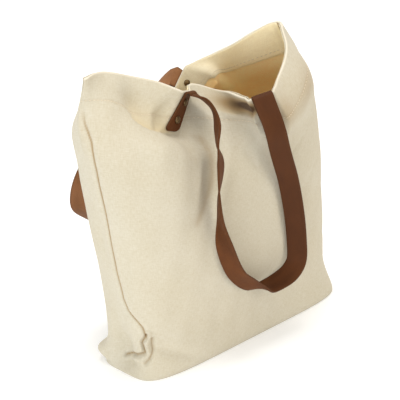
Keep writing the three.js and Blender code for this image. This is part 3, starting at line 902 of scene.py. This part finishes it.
def mark(tree, name):
    """A mark on the mesh's points, as a value."""
    return add_node(tree, "ShaderNodeAttribute", dict(attribute_name=name), out=2)


def scaled(cut, across, along):
    return add_node(cut.tree, "ShaderNodeMapping", Vector=cut, Scale=(across, along, 1))


def noise(vector, detail, scale=1.0):
    return add_node(vector.tree, "ShaderNodeTexNoise", Vector=vector, Scale=scale, Detail=detail)


def canvas_material():
    """Plain-woven undyed cotton: threads along the cut, slubs, flecks, painted highlights and shade, and a
    painted warm, shaded inside.
    """
    thread = 0.95 * MM
    thread_scale, slub_scale, cloud_scale, speck_scale = 800, 170, 14, 420
    lit, shade = (0.59, 0.545, 0.443, 1), (0.515, 0.456, 0.332, 1)
    # Painted inside light: warm orange for light shining through the single layer of cloth, and its deeper
    # shade.
    warm, deep = (1.0, 0.86, 0.47, 1), (1.0, 0.62, 0.235, 1)
    # Painted glow of light through the cloth on the hem's inner face.
    glow, glow_low = (1.0, 0.89, 0.60, 1), (0.92, 0.78, 0.50, 1)
    # Painted highlight on the rim's edge and painted warm light thrown back under the ledges.
    pale, bounced = (0.75, 0.69, 0.57, 1), (0.70, 0.58, 0.35, 1)
    # The fleck tone is the cloth's own; the other two paint shade into seams, creases and pinches.
    fleck, shade_brown, deep_shade = (0.50, 0.39, 0.25, 1), (0.36, 0.25, 0.13, 1), (0.085, 0.045, 0.02, 1)
    material, tree, shader = new_material("canvas_cloth")
    cut = add_node(tree, "ShaderNodeUVMap", dict(uv_map="cut"))
    wave = lambda x: x.math("SINE", x * (math.pi / thread))
    u, v = (add_node(tree, "ShaderNodeSeparateXYZ", out=k, Vector=cut) for k in (0, 1))
    weave = wave(u) * wave(v) * 0.5 + 0.5
    warp = noise(scaled(cut, thread_scale, slub_scale), 3.0)
    weft = noise(scaled(cut, slub_scale, thread_scale), 3.0)
    cloud = noise(scaled(cut, cloud_scale, cloud_scale), 4.0)
    speck = noise(scaled(cut, speck_scale, speck_scale), 2.0)
    slub = warp * 0.5 + weft * 0.5
    # Marks of painted light and shade, in order: inside glow, shade, the rim's highlight and light under the
    # ledges.
    inside, sunk, rim, bounce = (mark(tree, name) for name in ("inside", "sunk", "rim", "bounce"))
    tone = clamp01(cloud * 1.1 + slub * 3.0 - 1.45)
    flecks = clamp01((speck - 0.66) * 9.0)
    outside = mix_colour(flecks * 0.35, mix_colour(tone, shade, lit), fleck)
    # Painted glow on the hem's inner face, and painted warm light on the wall's inside.
    hem_lit = mix_colour(clamp01(inside * 2) * 0.9, outside, mix_colour(tone, glow_low, glow))
    warm_inside_light = mix_colour(clamp01(cloud * 2.6 + slub * 1.4 - 1.5), deep, warm)
    glowing_inside = mix_colour(clamp01(inside * 2 - 1), hem_lit, warm_inside_light)
    # Painted highlight on the rim's edge and painted light under the ledges.
    rim_highlit = mix_colour(rim, mix_colour(clamp01(bounce), glowing_inside, bounced), pale)
    # Painted shade: the cloth goes to brown as the sunk mark rises to one half, then on to near black at one.
    brown_shaded = mix_colour(clamp01(sunk * 2), rim_highlit, shade_brown)
    height = weave * 0.45 + slub * 0.75
    feed(
        shader,
        Base_Color=mix_colour(clamp01(sunk * 2 - 1), brown_shaded, deep_shade),
        Roughness=0.86 + slub * 0.12,
        Normal=add_node(tree, "ShaderNodeBump", Strength=0.35, Distance=0.0006, Height=height),
        Specular_IOR_Level=0.15,
        Sheen_Weight=0.12,
        Sheen_Roughness=0.6,
    )
    return material


def leather_material():
    """Brown vegetable-tanned strap: fine pebbled grain, long tonal drift, burnished edges."""
    dark, mid, edge_tone = (0.055, 0.018, 0.006, 1), (0.145, 0.048, 0.014, 1), (0.085, 0.033, 0.012, 1)
    tan, pale = (0.25, 0.115, 0.05, 1), (0.46, 0.225, 0.105, 1)
    material, tree, shader = new_material("strap_leather")
    cut = add_node(tree, "ShaderNodeUVMap", dict(uv_map="cut"))
    grain = add_node(tree, "ShaderNodeTexVoronoi", Vector=scaled(cut, 900, 800), Scale=1.0)
    pores = noise(scaled(cut, 1500, 1500), 3.0)
    drift = noise(scaled(cut, 60, 22), 4.0)
    edge, flesh, darker_end = (mark(tree, name) for name in ("edge", "flesh", "darker_end"))
    tone = clamp01(drift * 1.3 - 0.25 + grain * 0.25)
    # The grain side darkens from the middle of the front strap's run to its right end.
    grain_side = mix_colour(darker_end * 0.6, mix_colour(tone, dark, mid), dark)
    body = mix_colour(flesh * 0.75, grain_side, mix_colour(tone, tan, pale))
    height = grain * 0.6 + pores * 0.4
    feed(
        shader,
        Base_Color=mix_colour(edge * 0.7, body, edge_tone),
        Roughness=clamp01(0.42 + drift * 0.2 + pores * 0.12),
        Normal=add_node(tree, "ShaderNodeBump", Strength=0.3, Distance=0.0004, Height=height),
        Specular_IOR_Level=0.12,
    )
    return material


def brass_material():
    """Darkened brass with worn, brighter patches."""
    worn, dark = (0.27, 0.19, 0.10, 1), (0.08, 0.05, 0.025, 1)
    material, tree, shader = new_material("rivet_brass")
    patina = noise(add_node(tree, "ShaderNodeTexCoord", out="Object"), 4.0, 420.0)
    feed(
        shader,
        Base_Color=mix_colour(clamp01(patina * 1.8 - 0.4), dark, worn),
        Roughness=clamp01(0.28 + patina * 0.3),
        Metallic=1.0,
    )
    return material


def thread_material():
    """Natural sewing thread in uneven tones."""
    pale, dull = (0.78, 0.70, 0.55, 1), (0.55, 0.46, 0.33, 1)
    material, tree, shader = new_material("sewing_thread")
    ply = noise(add_node(tree, "ShaderNodeTexCoord", out="Object"), 2.0, 900.0)
    feed(shader, Base_Color=mix_colour(ply, dull, pale), Roughness=0.7 + ply * 0.2)
    return material


# Repeats: stitches and rivets
def instance_tree(name, material):
    """Instances of one form on points that carry a facing: realized, with its material set."""
    tree = bpy.data.node_groups.new(name, "GeometryNodeTree")
    tree.interface.new_socket("Geometry", in_out="INPUT", socket_type="NodeSocketGeometry")
    tree.interface.new_socket("Form", in_out="INPUT", socket_type="NodeSocketObject")
    tree.interface.new_socket("Geometry", in_out="OUTPUT", socket_type="NodeSocketGeometry")
    points, form_name = (add_node(tree, "NodeGroupInput", out=out) for out in ("Geometry", "Form"))
    form = add_node(tree, "GeometryNodeObjectInfo", out="Geometry", Object=form_name)
    vector = dict(data_type="FLOAT_VECTOR")
    faced = add_node(tree, "GeometryNodeInputNamedAttribute", vector, out="Attribute", Name="facing")
    turn = add_node(tree, "FunctionNodeAlignRotationToVector", dict(axis="Z"), Vector=faced)
    placed = add_node(tree, "GeometryNodeInstanceOnPoints", Points=points, Instance=form, Rotation=turn)
    real = add_node(tree, "GeometryNodeRealizeInstances", Geometry=placed)
    painted = add_node(tree, "GeometryNodeSetMaterial", Geometry=real, Material=material)
    feed(tree.nodes.new("NodeGroupOutput"), Geometry=painted)
    return tree


def repeated(name, form, points, facings, material):
    """A plain mesh of the form at every point, its +Z along the point's facing."""
    mesh = bpy.data.meshes.new(name)
    mesh.from_pydata((points * MM + shift).tolist(), [], [])
    attribute = mesh.attributes.new("facing", "FLOAT_VECTOR", "POINT")
    attribute.data.foreach_set("vector", facings.astype(np.float32).ravel())
    holder = add_object(name + "_points", mesh)
    tree = instance_tree(name + "_repeat", material)
    modifier = holder.modifiers.new("repeat", "NODES")
    modifier.node_group = tree
    sockets = {item.name: item.identifier for item in tree.interface.items_tree if item.in_out == "INPUT"}
    modifier[sockets["Form"]] = form
    deps = bpy.context.evaluated_depsgraph_get()
    made = bpy.data.meshes.new_from_object(holder.evaluated_get(deps), depsgraph=deps)
    made.polygons.foreach_set("use_smooth", [True] * len(made.polygons))
    piece = add_object(name, made)
    bpy.data.objects.remove(holder)
    bpy.data.objects.remove(form)
    return piece


def turned_form(name, profile, sides):
    """A closed turned form about +Z from (radius, height) points that begin and end on the axis."""
    rings = [(r * MM, z * MM) for r, z in profile[1:-1]]
    angles = np.linspace(0, 2 * math.pi, sides, endpoint=False)
    points = [(0, 0, profile[0][1] * MM)]
    for r, z in rings:
        points += [(r * math.cos(a), r * math.sin(a), z) for a in angles]
    points.append((0, 0, profile[-1][1] * MM))
    faces = []
    for i in range(sides):
        k = (i + 1) % sides
        faces.append((0, 1 + k, 1 + i))
        for j in range(len(rings) - 1):
            low, high = 1 + j * sides, 1 + (j + 1) * sides
            faces.append((low + i, low + k, high + k, high + i))
        top = 1 + (len(rings) - 1) * sides
        faces.append((top + i, top + k, len(points) - 1))
    mesh = bpy.data.meshes.new(name)
    mesh.from_pydata(points, [], faces)
    return add_object(name, mesh)


def rivet_profile():
    """Domed back, shank and domed cap, from the inside out."""
    cap_foot = STRAP_SEAT + STRAP_THICK + RIVET_LIFT
    back_foot = -(WALL + GAP + HEM_THICK + RIVET_LIFT)
    cap_dome, back_dome = RIVET_CAP_HEIGHT - RIVET_CAP_SIDE, RIVET_BACK_HEIGHT - RIVET_BACK_SIDE
    cap_side, back_side = cap_foot + RIVET_CAP_SIDE, back_foot - RIVET_BACK_SIDE
    cap = [(RIVET_CAP_RADIUS * math.cos(a), cap_side + cap_dome * math.sin(a)) for a in RIVET_CAP_TURNS]
    back = [(RIVET_BACK_RADIUS * math.cos(a), back_side - back_dome * math.sin(a)) for a in RIVET_BACK_TURNS]
    return [
        (0, back_foot - RIVET_BACK_HEIGHT), *back,
        (RIVET_BACK_RADIUS, back_foot), (RIVET_SHANK_RADIUS, back_foot),
        (RIVET_SHANK_RADIUS, cap_foot), (RIVET_CAP_RADIUS, cap_foot),
        *cap, (0, cap_foot + RIVET_CAP_HEIGHT),
    ]


def rivets(material):
    spots = [(tab["round"], up) for tab in TABS.values() for up in RIVET_UP]
    around, up = (np.array(column, float) for column in zip(*spots))
    form = turned_form("rivet_form", rivet_profile(), RIVET_SIDES)
    return repeated("rivets", form, cloth(around, up), facing(cloth, around, up), material)


def stitches(name, lines, material):
    """Stitches along lines over the cloth, each given as a function of the distance round and its stops."""
    half = STITCH_LENGTH / 2
    profile = [(STITCH_RADIUS * wide, half * far) for wide, far in STITCH_PROFILE]
    form = turned_form(name + "_form", profile, STITCH_SIDES)
    points = [line(stops) for line, stops in lines]
    facings = [unit(line(stops + 1) - line(stops - 1)) for line, stops in lines]
    return repeated(name, form, np.concatenate(points), np.concatenate(facings), material)


def outer_lines():
    """Sewn lines outside, lying a little proud of the cloth, with no stitches behind the strap ends."""
    stops = np.arange(0, GIRTH, STITCH_PITCH)
    for tab in TABS.values():
        stops = stops[np.abs(stops - tab["round"]) > STRAP_WIDTH / 2 + STITCH_CLEAR]
    lines = []
    for row in STITCH_ROWS:
        up = np.full(len(stops), row)
        lines.append((lambda q, up=up: on_cloth(q, up, small_relief(q, up) + STITCH_SUNK), stops))
    return lines


def round_line(columns, places):
    """A line round the bag through places at columns, as a function of the distance round."""
    return lambda q: np.stack([np.interp(q, columns, part, period=GIRTH) for part in places.T], -1)


def inner_lines(hem_lines):
    """Sewn lines inside, on the hem's own inner face."""
    stops = np.arange(0, GIRTH, STITCH_PITCH)
    return [(round_line(*line), stops) for line in hem_lines]


# Build
around, up = np.meshgrid(np.arange(0, GIRTH, CLOTH_STEP), np.arange(0, RIM_UP + 1, CLOTH_STEP))
plain = cloth(around, up).reshape(-1, 3) * MM
cad_low, cad_high = (np.array(corner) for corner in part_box("canvas_body"))
shift = (cad_low + cad_high) / 2 - (plain.min(0) + plain.max(0)) / 2
shift[2] = 0

canvas, leather, brass, thread = canvas_material(), leather_material(), brass_material(), thread_material()
shell = body_mesh(canvas)
hem, hem_lines = hem_mesh(canvas)
front_rows = strap_rows(TABS["front_left"], TABS["front_right"], FRONT_RUN)
back_rows = strap_rows(TABS["back_right"], TABS["back_left"], BACK_RUN)
front_strap = strap_mesh("strap_front", front_rows, leather, 0.0)
back_strap = strap_mesh("strap_back", back_rows, leather, 1.0)
rivet_set = rivets(brass)
outer_stitches = stitches("hem_stitches_outside", outer_lines(), thread)
inner_stitches = stitches("hem_stitches_inside", inner_lines(hem_lines), thread)

rivet_nodes = [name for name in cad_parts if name.endswith("_rivet")]
for piece, slot_name, nodes in (
    (shell, "canvas", ["canvas_body"]), (hem, "canvas", ["top_hem"]),
    (front_strap, "leather", ["front_strap"]), (back_strap, "leather", ["back_strap"]),
    (rivet_set, "brass", rivet_nodes), (outer_stitches, "canvas", []), (inner_stitches, "canvas", []),
):
    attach(piece, "root")
    if nodes:
        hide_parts(*nodes)


# Floor, lights and camera
def floor():
    reach = FLOOR_SIZE / 2
    corners = [(-reach, -reach, 0), (reach, -reach, 0), (reach, reach, 0), (-reach, reach, 0)]
    mesh = bpy.data.meshes.new("floor")
    mesh.from_pydata(corners, [], [(0, 1, 2, 3)])
    material, tree, shader = new_material("pale_floor")
    feed(
        shader,
        Base_Color=FLOOR_TONE,
        Roughness=0.9,
        Specular_IOR_Level=0.1,
        Emission_Color=FLOOR_GLOW,
        Emission_Strength=FLOOR_GLOW_STRENGTH,
    )
    mesh.materials.append(material)
    add_object("floor", mesh)


def soft_light(name, at, aim, size, watts, colour):
    light = bpy.data.lights.new(name, "AREA")
    light.shape, light.size, light.energy, light.color = "DISK", size, watts, colour
    turn = (Vector(aim) - Vector(at)).to_track_quat("-Z", "Y").to_matrix().to_4x4()
    add_object(name, light).matrix_world = Matrix.Translation(at) @ turn


def sky():
    world = bpy.data.worlds.new("studio")
    scene.world = world
    world.use_nodes = True
    feed(world.node_tree.nodes["Background"], Color=SKY_TONE, Strength=SKY_STRENGTH)


def camera():
    azimuth, elevation, roll = (math.radians(x) for x in (VIEW_AZIMUTH, VIEW_ELEVATION, VIEW_ROLL))
    level = math.cos(elevation)
    back = Vector((math.sin(azimuth) * level, -math.cos(azimuth) * level, math.sin(elevation)))
    right = (-back).cross(Vector((0, 0, 1))).normalized()
    high = right.cross(-back)
    tilted_right = right * math.cos(roll) + high * math.sin(roll)
    tilted_high = high * math.cos(roll) - right * math.sin(roll)
    target = Vector(np.array(VIEW_TARGET) * MM + shift)
    data = bpy.data.cameras.new("photo_view")
    data.lens, data.sensor_width, data.clip_end = VIEW_LENS, VIEW_SENSOR, VIEW_FAR
    made = add_object("photo_view", data)
    turn = Matrix((tilted_right, tilted_high, back)).transposed().to_4x4()
    made.matrix_world = Matrix.Translation(target + back * VIEW_DISTANCE * MM) @ turn
    scene.camera = made


floor()
for light in LIGHTS:
    soft_light(**light)
sky()
scene.view_settings.view_transform = "Standard"
camera()
